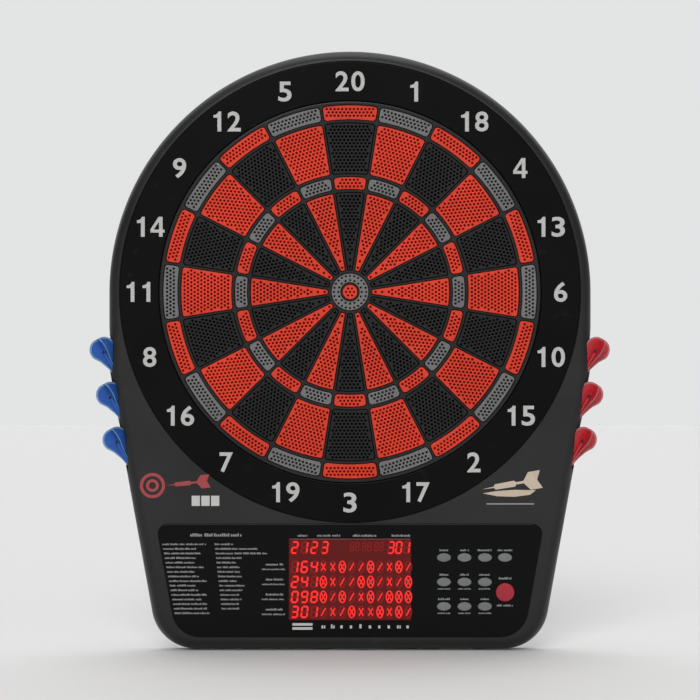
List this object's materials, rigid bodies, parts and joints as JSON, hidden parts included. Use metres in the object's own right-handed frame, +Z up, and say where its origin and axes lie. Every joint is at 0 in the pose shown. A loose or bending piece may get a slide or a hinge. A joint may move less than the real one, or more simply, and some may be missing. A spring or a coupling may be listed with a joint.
{
  "type": "electronic dartboard",
  "caption": "Wall-hung electronic soft-tip dartboard: pressable scoring segments in a web, number ring, lit score display, key panel and stored darts.",
  "frame": {"origin": "where the bull's axis meets the wall, in the plane of the back cover's rear face", "axes": "+X to the viewer's right, +Y into the wall, +Z up; the face looks along -Y"},
  "size_m": [0.5394, 0.0392, 0.62],
  "materials": {
    "housing_plastic": "fine moulded texture",
    "cover_plastic": "moulded",
    "ring_plastic": "satin, printed numbers",
    "web_plastic": "satin",
    "segment_black": "perforated, satin",
    "segment_red": "perforated, satin",
    "bull_grey": "satin",
    "sheet_rubber": "smooth",
    "film": "printed film",
    "hardboard": "pressed fibre",
    "overlay_black": "gloss",
    "window_red": "tinted gloss",
    "circuit_board": "solder mask",
    "lamp_block": "gloss",
    "switch_metal": "plain",
    "cable_grey": "plain",
    "speaker_black": "satin",
    "jack_black": "moulded",
    "holder_plastic": "moulded",
    "screw_steel": "zinc plated",
    "key_rubber": "satin",
    "start_red": "satin",
    "dart_blue": "anodised",
    "dart_red": "anodised",
    "print_silver": "silver-grey numbers printed on the ring",
    "print_grey": "grey print on the overlay",
    "lamp_lit": "lit bars of the display",
    "lamp_dim": "unlit bars of the display",
    "emblem_red": "plain printed emblem",
    "emblem_gold": "plain printed emblem",
    "flight_blue": "translucent, flexible",
    "flight_red": "translucent, flexible",
    "barrel_metal": "nickel plated, knurled",
    "shaft_plastic": "moulded",
    "point_plastic": "moulded"
  },
  "bodies": {
    "board": {"front_housing": "housing_plastic", "back_cover": "cover_plastic", "number_ring": "ring_plastic", "web_frame": "web_plastic", "rubber_sheet": "sheet_rubber", "sensor_films": "film", "backing_plate": "hardboard", "clamp_ring": "web_plastic", "panel_overlay": "overlay_black", "display_window": "window_red", "display_board": "circuit_board", "led_modules": "lamp_block", "keypad_board": "circuit_board", "tact_switches": "switch_metal", "main_board": "circuit_board", "ribbon_cables": "cable_grey", "speaker": "speaker_black", "dc_jack": "jack_black", "left_dart_holder": "holder_plastic", "right_dart_holder": "holder_plastic", "screws": "screw_steel"},
    "key_top_1": {"key_top_1": "key_rubber"},
    "key_top_2": {"key_top_2": "key_rubber"},
    "key_top_3": {"key_top_3": "key_rubber"},
    "key_top_4": {"key_top_4": "key_rubber"},
    "key_middle_1": {"key_middle_1": "key_rubber"},
    "key_middle_2": {"key_middle_2": "key_rubber"},
    "key_middle_3": {"key_middle_3": "key_rubber"},
    "key_bottom_1": {"key_bottom_1": "key_rubber"},
    "key_bottom_2": {"key_bottom_2": "key_rubber"},
    "key_bottom_3": {"key_bottom_3": "key_rubber"},
    "start_button": {"start_button": "start_red"},
    "sector_20": {"sector_20": "segment_black"},
    "sector_1": {"sector_1": "segment_red"},
    "sector_18": {"sector_18": "segment_black"},
    "sector_4": {"sector_4": "segment_red"},
    "sector_13": {"sector_13": "segment_black"},
    "sector_6": {"sector_6": "segment_red"},
    "sector_10": {"sector_10": "segment_black"},
    "sector_15": {"sector_15": "segment_red"},
    "sector_2": {"sector_2": "segment_black"},
    "sector_17": {"sector_17": "segment_red"},
    "sector_3": {"sector_3": "segment_black"},
    "sector_19": {"sector_19": "segment_red"},
    "sector_7": {"sector_7": "segment_black"},
    "sector_16": {"sector_16": "segment_red"},
    "sector_8": {"sector_8": "segment_black"},
    "sector_11": {"sector_11": "segment_red"},
    "sector_14": {"sector_14": "segment_black"},
    "sector_9": {"sector_9": "segment_red"},
    "sector_12": {"sector_12": "segment_black"},
    "sector_5": {"sector_5": "segment_red"},
    "outer_bull": {"outer_bull": "bull_grey"},
    "inner_bull": {"inner_bull": "segment_red"},
    "dart_left_top": {"dart_left_top": "dart_blue"},
    "dart_left_middle": {"dart_left_middle": "dart_blue"},
    "dart_left_bottom": {"dart_left_bottom": "dart_blue"},
    "dart_right_top": {"dart_right_top": "dart_red"},
    "dart_right_middle": {"dart_right_middle": "dart_red"},
    "dart_right_bottom": {"dart_right_bottom": "dart_red"}
  },
  "joints": [
    {"name": "key_top_1_press", "type": "slide", "parent": "board", "child": "key_top_1", "axis": [0, 1, 0], "range_m": [0, 0.0012], "stiffness_N_per_m": 300},
    {"name": "key_top_2_press", "type": "slide", "parent": "board", "child": "key_top_2", "axis": [0, 1, 0], "range_m": [0, 0.0012], "stiffness_N_per_m": 300},
    {"name": "key_top_3_press", "type": "slide", "parent": "board", "child": "key_top_3", "axis": [0, 1, 0], "range_m": [0, 0.0012], "stiffness_N_per_m": 300},
    {"name": "key_top_4_press", "type": "slide", "parent": "board", "child": "key_top_4", "axis": [0, 1, 0], "range_m": [0, 0.0012], "stiffness_N_per_m": 300},
    {"name": "key_middle_1_press", "type": "slide", "parent": "board", "child": "key_middle_1", "axis": [0, 1, 0], "range_m": [0, 0.0012], "stiffness_N_per_m": 300},
    {"name": "key_middle_2_press", "type": "slide", "parent": "board", "child": "key_middle_2", "axis": [0, 1, 0], "range_m": [0, 0.0012], "stiffness_N_per_m": 300},
    {"name": "key_middle_3_press", "type": "slide", "parent": "board", "child": "key_middle_3", "axis": [0, 1, 0], "range_m": [0, 0.0012], "stiffness_N_per_m": 300},
    {"name": "key_bottom_1_press", "type": "slide", "parent": "board", "child": "key_bottom_1", "axis": [0, 1, 0], "range_m": [0, 0.0012], "stiffness_N_per_m": 300},
    {"name": "key_bottom_2_press", "type": "slide", "parent": "board", "child": "key_bottom_2", "axis": [0, 1, 0], "range_m": [0, 0.0012], "stiffness_N_per_m": 300},
    {"name": "key_bottom_3_press", "type": "slide", "parent": "board", "child": "key_bottom_3", "axis": [0, 1, 0], "range_m": [0, 0.0012], "stiffness_N_per_m": 300},
    {"name": "start_button_press", "type": "slide", "parent": "board", "child": "start_button", "axis": [0, 1, 0], "range_m": [0, 0.0012], "stiffness_N_per_m": 300},
    {"name": "sector_20_press", "type": "slide", "parent": "board", "child": "sector_20", "axis": [0, 1, 0], "range_m": [0, 0.0015], "stiffness_N_per_m": 3000},
    {"name": "sector_1_press", "type": "slide", "parent": "board", "child": "sector_1", "axis": [0, 1, 0], "range_m": [0, 0.0015], "stiffness_N_per_m": 3000},
    {"name": "sector_18_press", "type": "slide", "parent": "board", "child": "sector_18", "axis": [0, 1, 0], "range_m": [0, 0.0015], "stiffness_N_per_m": 3000},
    {"name": "sector_4_press", "type": "slide", "parent": "board", "child": "sector_4", "axis": [0, 1, 0], "range_m": [0, 0.0015], "stiffness_N_per_m": 3000},
    {"name": "sector_13_press", "type": "slide", "parent": "board", "child": "sector_13", "axis": [0, 1, 0], "range_m": [0, 0.0015], "stiffness_N_per_m": 3000},
    {"name": "sector_6_press", "type": "slide", "parent": "board", "child": "sector_6", "axis": [0, 1, 0], "range_m": [0, 0.0015], "stiffness_N_per_m": 3000},
    {"name": "sector_10_press", "type": "slide", "parent": "board", "child": "sector_10", "axis": [0, 1, 0], "range_m": [0, 0.0015], "stiffness_N_per_m": 3000},
    {"name": "sector_15_press", "type": "slide", "parent": "board", "child": "sector_15", "axis": [0, 1, 0], "range_m": [0, 0.0015], "stiffness_N_per_m": 3000},
    {"name": "sector_2_press", "type": "slide", "parent": "board", "child": "sector_2", "axis": [0, 1, 0], "range_m": [0, 0.0015], "stiffness_N_per_m": 3000},
    {"name": "sector_17_press", "type": "slide", "parent": "board", "child": "sector_17", "axis": [0, 1, 0], "range_m": [0, 0.0015], "stiffness_N_per_m": 3000},
    {"name": "sector_3_press", "type": "slide", "parent": "board", "child": "sector_3", "axis": [0, 1, 0], "range_m": [0, 0.0015], "stiffness_N_per_m": 3000},
    {"name": "sector_19_press", "type": "slide", "parent": "board", "child": "sector_19", "axis": [0, 1, 0], "range_m": [0, 0.0015], "stiffness_N_per_m": 3000},
    {"name": "sector_7_press", "type": "slide", "parent": "board", "child": "sector_7", "axis": [0, 1, 0], "range_m": [0, 0.0015], "stiffness_N_per_m": 3000},
    {"name": "sector_16_press", "type": "slide", "parent": "board", "child": "sector_16", "axis": [0, 1, 0], "range_m": [0, 0.0015], "stiffness_N_per_m": 3000},
    {"name": "sector_8_press", "type": "slide", "parent": "board", "child": "sector_8", "axis": [0, 1, 0], "range_m": [0, 0.0015], "stiffness_N_per_m": 3000},
    {"name": "sector_11_press", "type": "slide", "parent": "board", "child": "sector_11", "axis": [0, 1, 0], "range_m": [0, 0.0015], "stiffness_N_per_m": 3000},
    {"name": "sector_14_press", "type": "slide", "parent": "board", "child": "sector_14", "axis": [0, 1, 0], "range_m": [0, 0.0015], "stiffness_N_per_m": 3000},
    {"name": "sector_9_press", "type": "slide", "parent": "board", "child": "sector_9", "axis": [0, 1, 0], "range_m": [0, 0.0015], "stiffness_N_per_m": 3000},
    {"name": "sector_12_press", "type": "slide", "parent": "board", "child": "sector_12", "axis": [0, 1, 0], "range_m": [0, 0.0015], "stiffness_N_per_m": 3000},
    {"name": "sector_5_press", "type": "slide", "parent": "board", "child": "sector_5", "axis": [0, 1, 0], "range_m": [0, 0.0015], "stiffness_N_per_m": 3000},
    {"name": "outer_bull_press", "type": "slide", "parent": "board", "child": "outer_bull", "axis": [0, 1, 0], "range_m": [0, 0.0015], "stiffness_N_per_m": 1200},
    {"name": "inner_bull_press", "type": "slide", "parent": "board", "child": "inner_bull", "axis": [0, 1, 0], "range_m": [0, 0.0015], "stiffness_N_per_m": 600},
    {"name": "dart_left_top_slide", "type": "slide", "parent": "board", "child": "dart_left_top", "axis": [-0.5, 0, 0.866], "range_m": [0, 0.105]},
    {"name": "dart_left_middle_slide", "type": "slide", "parent": "board", "child": "dart_left_middle", "axis": [-0.5, 0, 0.866], "range_m": [0, 0.105]},
    {"name": "dart_left_bottom_slide", "type": "slide", "parent": "board", "child": "dart_left_bottom", "axis": [-0.5, 0, 0.866], "range_m": [0, 0.105]},
    {"name": "dart_right_top_slide", "type": "slide", "parent": "board", "child": "dart_right_top", "axis": [0.5, 0, 0.866], "range_m": [0, 0.105]},
    {"name": "dart_right_middle_slide", "type": "slide", "parent": "board", "child": "dart_right_middle", "axis": [0.5, 0, 0.866], "range_m": [0, 0.105]},
    {"name": "dart_right_bottom_slide", "type": "slide", "parent": "board", "child": "dart_right_bottom", "axis": [0.5, 0, 0.866], "range_m": [0, 0.105]}
  ]
}
